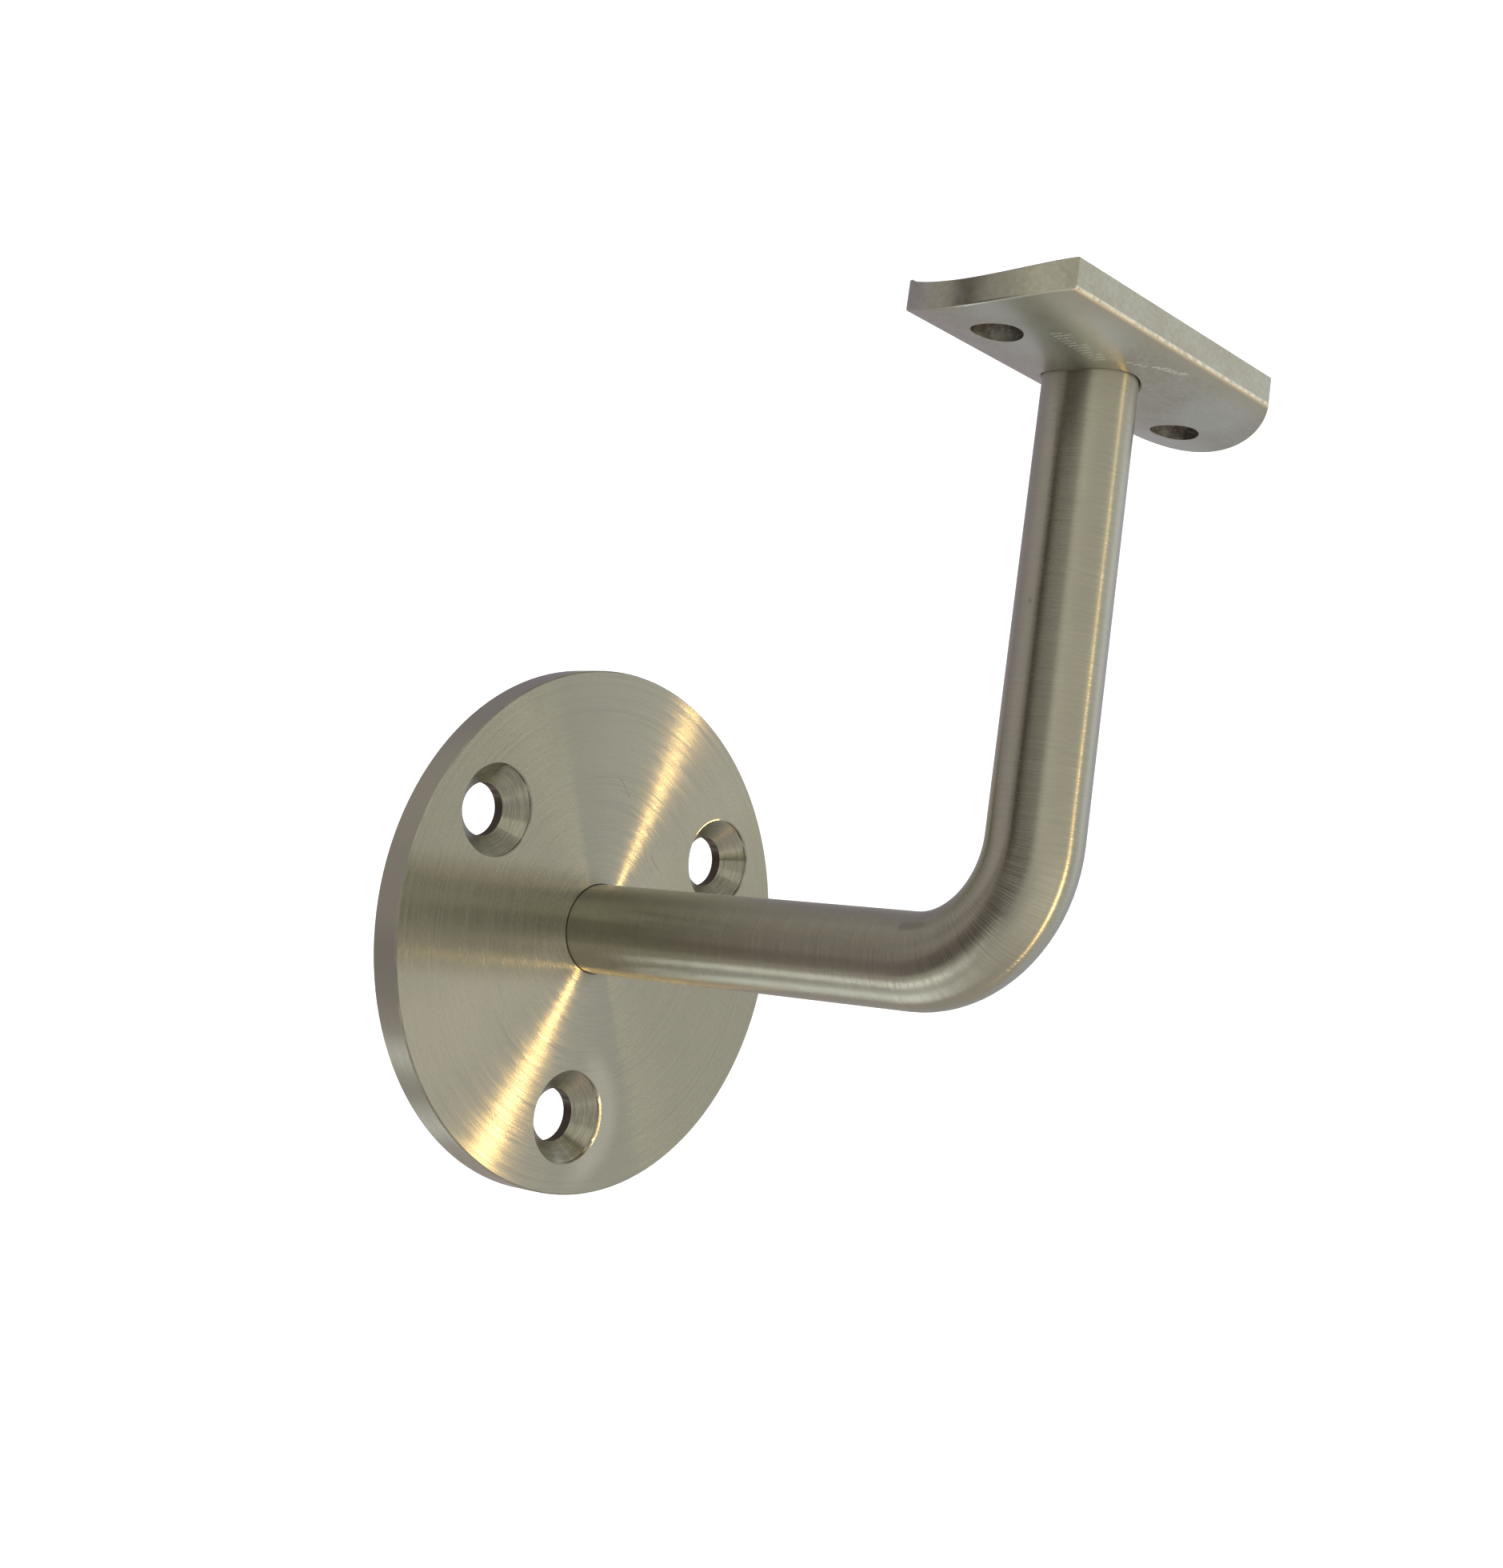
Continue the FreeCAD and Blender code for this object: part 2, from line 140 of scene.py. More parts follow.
SKIRT_TONES = (
    (-180, (0.06, 0.05, 0.05)),
    (-158, (0.16, 0.13, 0.14)),
    (-143, (0.32, 0.29, 0.30)),
    (-128, (0.62, 0.60, 0.55)),
    (-110, (0.92, 0.89, 0.79)),
    (-75, (1.07, 0.99, 0.86)),
    (-55, (0.69, 0.66, 0.61)),
    (-20, (0.60, 0.60, 0.62)),
    (0, (0.50, 0.50, 0.54)),
    (25, (0.43, 0.42, 0.44)),
    (60, (0.46, 0.40, 0.41)),
    (110, (0.48, 0.44, 0.45)),
    (130, (0.36, 0.32, 0.33)),
    (148, (0.17, 0.14, 0.14)),
    (165, (0.08, 0.06, 0.05)),
)
CROWN_TONE = (0.36, 0.34, 0.32)
APRON_TONE = (0.44, 0.41, 0.38)
# Elevations in degrees, as sines, where one cloth gives way to the next.
APRON_TO_SKIRT = (sin(radians(-40)), sin(radians(-35)))
SKIRT_TO_LEVEL = (sin(radians(-18)), sin(radians(-5)))
LEVEL_TO_CEILING = (sin(radians(9)), sin(radians(20)))
CEILING_TO_CROWN = (sin(radians(42)), sin(radians(62)))
# Pale strips of paper low in the tent, further back than the plate, by the roll about Y from +X in degrees.
# The arm's level run mirrors them as bright lines.
STRIP_TONES = (
    (-180, (0.44, 0.41, 0.38)),
    (-126, (0.44, 0.41, 0.38)),
    (-120, (1.02, 1.06, 1.06)),
    (-114, (1.02, 1.06, 1.06)),
    (-109, (0.41, 0.41, 0.41)),
    (-95, (0.39, 0.39, 0.39)),
    (-89, (1.04, 1.10, 1.10)),
    (-77, (1.04, 1.10, 1.10)),
    (-71, (0.28, 0.26, 0.25)),
    (-60, (0.15, 0.14, 0.13)),
)
# The rolls where the strips start and stop, and how far along Y from the tent's centre.
STRIPS_ROLL_IN = (-128, -123)
STRIPS_ROLL_OUT = (-68, -60)
STRIPS_FRONT = (0.05 * TENT_RADIUS, 0.3 * TENT_RADIUS)
STRIPS_BACK = (0.69 * TENT_RADIUS, 0.75 * TENT_RADIUS)
# Their front stretch is brighter, which gives the arm's bend its highlight.
BRIGHT_STRETCH = (0.38 * TENT_RADIUS, 0.6 * TENT_RADIUS)
BRIGHT_GAIN = 2.1

# Steel in general. Most of what noise gives lies within NOISE_SPAN.
STEEL = (0.5, 0.49, 0.4)
NOISE_SPAN = (0.25, 0.75)
CLOUDS_PER_METRE = 90.0
CLOUD_SHARE = 0.25
COARSE_GROOVES_PER_GROOVE = 0.22
FINE_SHARE = 0.5
RIDGES_PER_GROOVE = 3.3
# How far along a turned or ground groove its tone stays the same.
MARK_LENGTH = 2.5 * MM
# The drilled walls of the screw holes, dull and dark brown with painted shade,
# and how far from a hole's axis they are taken to reach.
HOLE_SHADE_TONE = (0.14, 0.115, 0.095)
HOLE_SHADE_DULLING = 0.2
WALL_HOLE_LIMIT = WALL_HOLE_RADIUS * 1.05
RAIL_HOLE_LIMIT = RAIL_HOLE_RADIUS * 1.02
# Scratches and blotches are at their strongest within these shares of their reach.
SCRATCH_CORE = 0.3
BLOTCH_CORE = 0.35

# The wall plate's spun steel. A surface is flat or a wall by how far its normal points along Y.
FLAT_FROM = 0.9
WALL_UP_TO = 0.3
PLATE_ANISOTROPY = 1.0
PLATE_CONTRAST = 0.07
PLATE_FACE_ROUGHNESS = (0.14, 0.32)
PLATE_TURNED_ROUGHNESS = (0.17, 0.23)
PLATE_FACE_SPREAD = 3.1
PLATE_TURNED_SPREAD = 0.4
RING_PITCH = 0.12 * MM
RING_MARKS_PER_RADIAN = 7.0
# The rings wander a little, which frays the edges of a streak of light.
SWAY_PITCH = 0.22 * MM
SWAYS_PER_RADIAN = 5.0
SWAY_REACH = 0.09
# Dark turning rings in the countersinks.
COUNTERSINK_RINGS_PER_GROOVE = 0.95
COUNTERSINK_RING_SPAN = (0.42, 0.62)
COUNTERSINK_RING_SHADE = 0.78
COUNTERSINK_RING_DULLING = 0.03
# The hole with a pale halo towards +X, and how the halo fades from the hole's axis and along X.
HALO_HOLE = 0
HALO_FADE = (7.4 * MM, 10.5 * MM)
HALO_SIDE = 5.0 * MM
HALO_STRENGTH = 0.9
HALO_SHADE = 1.3
HALO_DULLING = 0.03
# Scratches, in millimetres along X and Z: where each starts and ends, and how wide it is.
PLATE_SCRATCHES = (
    ((6.4, 11.6), (7.3, 10.4), 0.16),
    ((7.9, 11.1), (9.6, 9.6), 0.13),
    ((-0.3, 20.6), (1.9, 18.3), 0.12),
)
PLATE_SCRATCH_STRENGTH = 0.7
PLATE_SCRATCH_SHADE = 0.7
PLATE_SCRATCH_DULLING = 0.1
# Where the burr of a screw hole's mouth turns up and glints: the hole's number and the bearing in degrees.
BURRS = ((1, 125), (0, 0))
BURR_BAND = (5.97 * MM, 6.22 * MM)
BURR_REACH = 6.0 * MM
BURR_NORMAL = (-0.11, -0.96, -0.25)

# The arm's ground bar.
BAR_ANISOTROPY = 0.88
BAR_CONTRAST = 0.07
BAR_ROUGHNESS = (0.22, 0.28)
BAR_SPREAD = 2.4
BAR_RING_PITCH = 0.09 * MM
# A smudge where the bend starts and a small dent mark on the riser: places and widths in millimetres.
BAR_MARKS = (
    ((-4.78, -60.3, 3.62), (-4.59, -65.7, 3.86), 1.0),
    ((-5.97, -73.7, 43.35), (-5.97, -73.8, 43.0), 0.35),
)
BAR_MARK_STRENGTH = 0.32
BAR_MARK_SHADE = 0.35
BAR_MARK_DULLING = 0.1

# The saddle's satin steel: faint lengthwise lines, under broad mottling and a fine pale and dark grain.
SADDLE_ANISOTROPY = 0.3
SADDLE_CONTRAST = 0.08
SADDLE_ROUGHNESS = (0.30, 0.38)
SADDLE_BUMP = 0.003 * MM
LINE_PITCH = 0.2 * MM
LINE_LENGTH = 3.0 * MM
MOTTLES_PER_METRE = 260.0
MOTTLE_SPAN = (0.42, 0.66)
MOTTLE_STRENGTH = 0.5
MOTTLE_TONE = (0.57, 0.59, 0.53)
MOTTLE_DULLING = 0.03
GRAINS_PER_METRE = 1500.0
PALE_GRAIN_SPAN = (0.5, 0.7)
PALE_GRAIN_STRENGTH = 0.55
PALE_GRAIN_TONE = (0.60, 0.64, 0.62)
DARK_GRAIN_SPAN = (0.3, 0.5)
DARK_GRAIN_STRENGTH = 0.5
DARK_GRAIN_SHADE = 0.8
# Pale patches of painted sheen on the underside, in millimetres from the riser's axis along X and Y: the
# middle, reach and strength of each place. Only faces whose normal points down take part, by its Z.
SHEEN_PLACES = (
    ((-14.0, -6.6), 11.0, 1.0),
    ((-26.0, -6.2), 7.0, 0.8),
    ((-22.0, -9.8), 4.0, 0.5),
    ((18.0, -7.0), 8.0, 0.45),
    ((25.0, 4.0), 8.0, 0.5),
)
SHEEN_TONE = (0.66, 0.70, 0.65)
SHEEN_FACING = (-0.6, -0.4)
# Rows of short strokes on the underside, in the same millimetres: where the first and last strokes start, how
# far a stroke runs, how many there are and how wide each is.
STROKE_ROWS = (
    ((-16.5, -5.2), (-7.0, -4.9), (1.0, -1.6), 12, 0.26),
    ((0.2, -8.8), (4.6, -9.8), (1.0, -0.8), 7, 0.2),
    ((-3.4, -7.4), (-1.2, -8.0), (0.7, -0.6), 3, 0.15),
)
# The shares of the full run that a row's strokes go through, over and over in this order.
STROKE_RUNS = (0.6, 1.0, 0.87, 0.73)
# The strokes are real scratches with a painted highlight: their near-white tone stands in for the light they
# catch.
STROKE_HIGHLIGHT_TONE = (0.92, 0.95, 0.90)
STROKE_DULLING = 0.2
STROKE_GRAINS_PER_METRE = 3000.0
STROKE_GRAIN_SPAN = (0.35, 0.6)
STROKE_GRAIN_STRENGTH = (0.25, 0.85)
# The rounded lower long edges are where the product of the normal's Y and Z parts goes through EDGE_TILT.
EDGE_TILT = (0.34, 0.46)
EDGE_SHADE = 1.05
EDGE_DULLING = 0.16
# Beside them a thin band has a painted highlight, a warm shine broken up unevenly: how far it is from the
# rail's axis and how far its normal points along Y.
HIGHLIGHT_BAND = (24.18 * MM, 24.28 * MM)
HIGHLIGHT_FACING = (0.86, 0.95)
PAINTED_HIGHLIGHT_TONE = (1.0, 0.95, 0.78)
HIGHLIGHT_DULLING = 0.08
HIGHLIGHT_BREAKS_PER_METRE = 900.0
HIGHLIGHT_BREAK_SPAN = (0.35, 0.6)
HIGHLIGHT_BREAK_STRENGTH = (0.35, 1.0)

# The welds, ground with a disc.
WELD_ANISOTROPY = 0.3
WELD_CONTRAST = 0.09
WELD_ROUGHNESS = (0.38, 0.46)
WELD_BUMP = 0.002 * MM
WELD_GRAIN = 0.3 * MM
WELD_DISC_RUN = (0.8, 0.1, 0.6)


def feed(tree, socket, value):
    """Link a socket to another node's output, or set it to a constant. A tone has three parts."""
    if isinstance(value, bpy.types.NodeSocket):
        tree.links.new(value, socket)
    elif socket.type == "RGBA":
        socket.default_value = (*value, 1.0)
    else:
        socket.default_value = value


def number(tree, operation, *values):
    node = tree.nodes.new("ShaderNodeMath")
    node.operation = operation
    for socket, value in zip(node.inputs, values):
        feed(tree, socket, value)
    return node.outputs[0]


def folded(tree, operation, values):
    """Work through many numbers with an operation on two, such as their product or the smallest."""
    result = values[0]
    for value in values[1:]:
        result = number(tree, operation, result, value)
    return result


def product(tree, *values):
    return folded(tree, "MULTIPLY", values)


def vector(tree, operation, *values):
    node = tree.nodes.new("ShaderNodeVectorMath")
    node.operation = operation
    for socket, value in zip(node.inputs, values):
        feed(tree, socket, value)
    if operation in ("LENGTH", "DISTANCE", "DOT_PRODUCT"):
        return node.outputs["Value"]
    return node.outputs["Vector"]


def scaled(tree, source, factor):
    node = tree.nodes.new("ShaderNodeVectorMath")
    node.operation = "SCALE"
    feed(tree, node.inputs[0], source)
    feed(tree, node.inputs["Scale"], factor)
    return node.outputs["Vector"]


def joined(tree, x, y, z):
    node = tree.nodes.new("ShaderNodeCombineXYZ")
    for socket, value in zip(node.inputs, (x, y, z)):
        feed(tree, socket, value)
    return node.outputs[0]


def split(tree, source):
    node = tree.nodes.new("ShaderNodeSeparateXYZ")
    tree.links.new(source, node.inputs[0])
    return node.outputs


def cells(tree, parts, sizes):
    """A place in cells of the given sizes, for noise whose lumps are as big as a cell."""
    return joined(tree, *(number(tree, "DIVIDE", part, size) for part, size in zip(parts, sizes)))


def noise(tree, place, detail=2.0, roughness=0.5):
    """Soft noise from 0 to 1 whose lumps are about one unit of place apart."""
    node = tree.nodes.new("ShaderNodeTexNoise")
    feed(tree, node.inputs["Vector"], place)
    node.inputs["Scale"].default_value = 1.0
    node.inputs["Detail"].default_value = detail
    node.inputs["Roughness"].default_value = roughness
    return node.outputs["Fac"]


def swing(tree, source, reach):
    """Noise from 0 to 1 made a swing to both sides of 0."""
    return product(tree, number(tree, "SUBTRACT", source, 0.5), reach)


def fade(tree, value, start, end, low=0.0, high=1.0):
    """A smooth change from low to high as value goes from start to end."""
    node = tree.nodes.new("ShaderNodeMapRange")
    node.interpolation_type = "SMOOTHSTEP"
    feed(tree, node.inputs["Value"], value)
    for name, limit in (("From Min", start), ("From Max", end), ("To Min", low), ("To Max", high)):
        node.inputs[name].default_value = limit
    return node.outputs["Result"]


def mixed(tree, kind, factor, first, second):
    """Mix two numbers, colours or vectors: the first where factor is 0, the second where it is 1."""
    node = tree.nodes.new("ShaderNodeMix")
    node.data_type = kind
    sockets = [socket for socket in node.inputs if socket.enabled]
    for socket, value in zip(sockets, (factor, first, second)):
        feed(tree, socket, value)
    return next(socket for socket in node.outputs if socket.enabled)


def shade(tone, factor):
    return tuple(channel * factor for channel in tone)


def object_place(tree):
    return tree.nodes.new("ShaderNodeTexCoord").outputs["Object"]


def surface_normal(tree):
    return tree.nodes.new("ShaderNodeNewGeometry").outputs["Normal"]


def nearest_axis(tree, point, centres):
    """How far a point lies from the nearest of some parallel axes, all in a plane."""
    return folded(tree, "MINIMUM", [vector(tree, "DISTANCE", point, centre) for centre in centres])


def blotch(tree, place, centre, reach):
    """1 at a point of the surface, fading to 0 at its reach."""
    away = vector(tree, "DISTANCE", place, centre)
    return fade(tree, away, BLOTCH_CORE * reach, reach, 1.0, 0.0)


def scratch(tree, place, start, end, width):
    """1 on a straight mark in the surface, fading to 0 one width away."""
    run = end - start
    from_start = vector(tree, "SUBTRACT", place, start)
    share = number(tree, "DIVIDE", vector(tree, "DOT_PRODUCT", from_start, run), run.length_squared)
    share = number(tree, "MINIMUM", number(tree, "MAXIMUM", share, 0.0), 1.0)
    away = vector(tree, "DISTANCE", from_start, scaled(tree, run, share))
    return fade(tree, away, SCRATCH_CORE * width, width, 1.0, 0.0)


def scratches(tree, place, marks, surface_place):
    """All marks of a list in millimetres. The function surface_place puts their ends on the surface."""
    return folded(tree, "MAXIMUM", [
        scratch(tree, place, surface_place(*start), surface_place(*end), width * MM)
        for start, end, width in marks
    ])


def plate_place(x, z):
    """The point of the plate's front at some millimetres from its centre."""
    return Vector((x * MM, PLATE_FRONT, z * MM))


def bar_place(x, y, z):
    """A point given in the frame's millimetres."""
    return Vector((x, y, z)) * MM


def underside_place(x, y):
    """The point of the saddle's underside above a place given from the riser's axis, in millimetres."""
    drop = (UNDERSIDE_RADIUS ** 2 - (y * MM) ** 2) ** 0.5
    return Vector((x * MM, RISER_Y + y * MM, RAIL_AXIS_Z - drop))


def new_steel(name, anisotropy):
    """A metal material and its shader, with nothing linked yet."""
    material = bpy.data.materials.new(name)
    material.use_nodes = True
    shader = material.node_tree.nodes["Principled BSDF"]
    shader.inputs["Metallic"].default_value = 1.0
    shader.inputs["Anisotropic"].default_value = anisotropy
    return material, material.node_tree, shader


def groove_lines(tree, grooves):
    """Noise from 0 to 1 that follows the grooves, coarse and fine ones together."""
    coarse = noise(tree, scaled(tree, grooves, COARSE_GROOVES_PER_GROOVE), detail=3.0, roughness=0.6)
    fine = noise(tree, grooves, detail=2.0, roughness=0.7)
    return mixed(tree, "FLOAT", FINE_SHARE, coarse, fine)


def rocked_normal(tree, across, direction, spread):
    """The surface's normal, rocked from ridge to ridge across fine grooves, which spreads light that way."""
    ridge_place = joined(tree, product(tree, across, RIDGES_PER_GROOVE), 0.0, 0.0)
    rock = swing(tree, noise(tree, ridge_place, detail=1.0), spread)
    rocked = vector(tree, "ADD", surface_normal(tree), scaled(tree, direction, rock))
    return vector(tree, "NORMALIZE", rocked)


def bumped_normal(tree, height, depth):
    bump = tree.nodes.new("ShaderNodeBump")
    bump.inputs["Strength"].default_value = 1.0
    bump.inputs["Distance"].default_value = depth
    tree.links.new(height, bump.inputs["Height"])
    return bump.outputs["Normal"]


def satin_colour(tree, lines, place, contrast):
    """Steel that is darker and lighter along its grooves and in broad faint clouds."""
    cloud = noise(tree, scaled(tree, place, CLOUDS_PER_METRE), detail=3.0)
    factor = fade(tree, mixed(tree, "FLOAT", CLOUD_SHARE, lines, cloud), *NOISE_SPAN)
    return mixed(tree, "RGBA", factor, shade(STEEL, 1.0 - contrast), shade(STEEL, 1.0 + contrast))


def worn_and_painted(tree, colour, roughness, layers):
    """Lay overlays on the steel, real marks and painted light: each a mask, its tone and how much it dulls.
    """
    for mask, tone, dulling in layers:
        colour = mixed(tree, "RGBA", mask, colour, tone)
        roughness = number(tree, "MULTIPLY_ADD", mask, dulling, roughness)
    return colour, roughness


def finish_steel(tree, shader, colour, roughness, normal, direction):
    feed(tree, shader.inputs["Base Color"], colour)
    feed(tree, shader.inputs["Roughness"], roughness)
    tree.links.new(normal, shader.inputs["Normal"])
    tree.links.new(direction, shader.inputs["Tangent"])


def ring_cells(tree, radius, bearing, pitch, per_radian):
    """A place in cells that lie along rings about the plate's centre."""
    around = split(tree, scaled(tree, bearing, per_radian))
    return joined(tree, number(tree, "DIVIDE", radius, pitch), around[0], around[2])


def across_rings(tree, radius, bearing):
    """The direction across the plate's rings, which wander a little."""
    sway_place = ring_cells(tree, radius, bearing, SWAY_PITCH, SWAYS_PER_RADIAN)
    sway = swing(tree, noise(tree, sway_place, detail=2.0, roughness=0.6), SWAY_REACH)
    along = vector(tree, "CROSS_PRODUCT", bearing, (0.0, 1.0, 0.0))
    return vector(tree, "ADD", bearing, scaled(tree, along, sway))


def plate_hole_shade(tree, from_hole, wall):
    """The painted shade on the drilled walls of the plate's screw holes, as a layer for worn_and_painted().
    """
    in_hole = product(tree, wall, number(tree, "LESS_THAN", from_hole, WALL_HOLE_LIMIT))
    return in_hole, HOLE_SHADE_TONE, HOLE_SHADE_DULLING


def countersink_rings(tree, circles, flat, wall):
    """Dark turning rings on the sloping faces, as a layer for worn()."""
    sloping = number(tree, "SUBTRACT", 1.0, number(tree, "ADD", flat, wall))
    ring_place = scaled(tree, circles, COUNTERSINK_RINGS_PER_GROOVE)
    rings = fade(tree, noise(tree, ring_place), *COUNTERSINK_RING_SPAN)
    return product(tree, rings, sloping), shade(STEEL, COUNTERSINK_RING_SHADE), COUNTERSINK_RING_DULLING


def plate_scratches(tree, place):
    """The scratches on the plate's front, as a layer for worn()."""
    marks = scratches(tree, place, PLATE_SCRATCHES, plate_place)
    mask = product(tree, marks, PLATE_SCRATCH_STRENGTH)
    return mask, shade(STEEL, PLATE_SCRATCH_SHADE), PLATE_SCRATCH_DULLING


def halo(tree, place, outwards, facing):
    """The pale halo beside one screw hole, on the plate's front only, as a layer for worn()."""
    from_axis = vector(tree, "DISTANCE", outwards, WALL_HOLES[HALO_HOLE])
    mask = product(
        tree,
        fade(tree, from_axis, *HALO_FADE, HALO_STRENGTH, 0.0),
        fade(tree, split(tree, place)[0], 0.0, HALO_SIDE),
        number(tree, "LESS_THAN", facing, -FLAT_FROM),
    )
    return mask, shade(STEEL, HALO_SHADE), HALO_DULLING


def burred_normal(tree, place, from_hole, normal):
    """The plate's normal, turned where a burr at a screw hole's mouth catches the light."""
    past_inside = number(tree, "GREATER_THAN", from_hole, BURR_BAND[0])
    before_outside = number(tree, "LESS_THAN", from_hole, BURR_BAND[1])
    mouth = product(tree, past_inside, before_outside)
    for hole, degrees in BURRS:
        bearing = Vector((cos(radians(degrees)), 0, sin(radians(degrees))))
        burr = WALL_HOLES[hole] + bearing * sum(BURR_BAND) / 2
        burr.y = PLATE_FRONT
        glint = product(tree, mouth, blotch(tree, place, burr, BURR_REACH))
        normal = mixed(tree, "VECTOR", glint, normal, BURR_NORMAL)
    return normal


def make_plate_steel():
    """Turned disc: rings about the plate's centre on its faces, and circles round the rim and the holes."""
    material, tree, shader = new_steel("spun_steel", PLATE_ANISOTROPY)
    place = object_place(tree)
    x, y, z = split(tree, place)
    outwards = joined(tree, x, 0.0, z)
    radius = vector(tree, "LENGTH", outwards)
    bearing = vector(tree, "NORMALIZE", outwards)
    facing = split(tree, surface_normal(tree))[1]
    flat = number(tree, "GREATER_THAN", number(tree, "ABSOLUTE", facing), FLAT_FROM)
    wall = number(tree, "LESS_THAN", number(tree, "ABSOLUTE", facing), WALL_UP_TO)

    rings = ring_cells(tree, radius, bearing, RING_PITCH, RING_MARKS_PER_RADIAN)
    circles = cells(tree, (y, x, z), (RING_PITCH, MARK_LENGTH, MARK_LENGTH))
    grooves = mixed(tree, "VECTOR", flat, circles, rings)
    lines = groove_lines(tree, grooves)
    direction = mixed(tree, "VECTOR", flat, (0.0, 1.0, 0.0), across_rings(tree, radius, bearing))

    colour = satin_colour(tree, lines, place, PLATE_CONTRAST)
    face_roughness = fade(tree, lines, *NOISE_SPAN, *PLATE_FACE_ROUGHNESS)
    turned_roughness = fade(tree, lines, *NOISE_SPAN, *PLATE_TURNED_ROUGHNESS)
    roughness = mixed(tree, "FLOAT", flat, turned_roughness, face_roughness)
    from_hole = nearest_axis(tree, outwards, WALL_HOLES)
    overlays = (
        plate_hole_shade(tree, from_hole, wall),
        countersink_rings(tree, circles, flat, wall),
        plate_scratches(tree, place),
        halo(tree, place, outwards, facing),
    )
    colour, roughness = worn_and_painted(tree, colour, roughness, overlays)

    spread = mixed(tree, "FLOAT", flat, PLATE_TURNED_SPREAD, PLATE_FACE_SPREAD)
    normal = rocked_normal(tree, split(tree, grooves)[0], direction, spread)
    normal = burred_normal(tree, place, from_hole, normal)
    finish_steel(tree, shader, colour, roughness, normal, direction)
    return material


def make_bar_steel():
    """Ground bar: fine rings round it, which follow the bend."""
    material, tree, shader = new_steel("ground_bar_steel", BAR_ANISOTROPY)
    place = object_place(tree)
    from_bend = vector(tree, "SUBTRACT", place, BEND_CENTRE)
    in_bend = vector(tree, "MINIMUM", from_bend, (0.0, 0.0, 0.0))
    past_bend = vector(tree, "MAXIMUM", from_bend, (0.0, 0.0, 0.0))
    direction = vector(tree, "NORMALIZE", vector(tree, "CROSS_PRODUCT", (1.0, 0.0, 0.0), in_bend))

    # How far a point lies along the bar, and how far from the line through the bend's centre.
    bend_parts = split(tree, in_bend)
    past_parts = split(tree, past_bend)
    turned = product(tree, number(tree, "ARCTAN2", bend_parts[2], bend_parts[1]), BEND_RADIUS)
    straight = number(tree, "SUBTRACT", past_parts[2], past_parts[1])
    length = number(tree, "SUBTRACT", straight, turned)
    reach = vector(tree, "LENGTH", joined(tree, 0.0, bend_parts[1], bend_parts[2]))
    x = split(tree, place)[0]
    grooves = cells(tree, (length, x, reach), (BAR_RING_PITCH, MARK_LENGTH, MARK_LENGTH))
    lines = groove_lines(tree, grooves)

    colour = satin_colour(tree, lines, place, BAR_CONTRAST)
    roughness = fade(tree, lines, *NOISE_SPAN, *BAR_ROUGHNESS)
    marks = product(tree, scratches(tree, place, BAR_MARKS, bar_place), BAR_MARK_STRENGTH)
    overlays = [(marks, shade(STEEL, BAR_MARK_SHADE), BAR_MARK_DULLING)]
    colour, roughness = worn_and_painted(tree, colour, roughness, overlays)
    normal = rocked_normal(tree, split(tree, grooves)[0], direction, BAR_SPREAD)
    finish_steel(tree, shader, colour, roughness, normal, direction)
    return material


def saddle_grain(tree, place):
    """The saddle's mottling and its pale and dark grain, as layers for worn()."""
    mottles = noise(tree, scaled(tree, place, MOTTLES_PER_METRE), detail=4.0, roughness=0.6)
    grain = noise(tree, scaled(tree, place, GRAINS_PER_METRE), detail=4.0, roughness=0.75)
    return (
        (fade(tree, mottles, *MOTTLE_SPAN, 0.0, MOTTLE_STRENGTH), MOTTLE_TONE, MOTTLE_DULLING),
        (fade(tree, grain, *PALE_GRAIN_SPAN, 0.0, PALE_GRAIN_STRENGTH), PALE_GRAIN_TONE, 0.0),
        (fade(tree, grain, *DARK_GRAIN_SPAN, DARK_GRAIN_STRENGTH, 0.0), shade(STEEL, DARK_GRAIN_SHADE), 0.0),
    )


def painted_sheen_layers(tree, place, normal):
    """The patches of painted sheen on the saddle's underside, as layers for worn_and_painted()."""
    downward = fade(tree, split(tree, normal)[2], *SHEEN_FACING, 1.0, 0.0)
    layers = []
    for middle, reach, strength in SHEEN_PLACES:
        spot = blotch(tree, place, underside_place(*middle), reach * MM)
        layers.append((product(tree, spot, strength, downward), SHEEN_TONE, 0.0))
    return layers


def stroke_marks():
    """The strokes of all rows, as marks for scratches()."""
    marks = []
    for first, last, run, count, width in STROKE_ROWS:
        for index in range(count):
            start = Vector(first).lerp(Vector(last), index / (count - 1))
            end = start + Vector(run) * STROKE_RUNS[index % len(STROKE_RUNS)]
            marks.append((start, end, width))
    return marks


def strokes(tree, place):
    """The rows of scratches under the saddle, with a painted highlight, as a layer for worn_and_painted()."""
    grain = noise(tree, scaled(tree, place, STROKE_GRAINS_PER_METRE))
    broken = fade(tree, grain, *STROKE_GRAIN_SPAN, *STROKE_GRAIN_STRENGTH)
    mask = product(tree, scratches(tree, place, stroke_marks(), underside_place), broken)
    return mask, STROKE_HIGHLIGHT_TONE, STROKE_DULLING


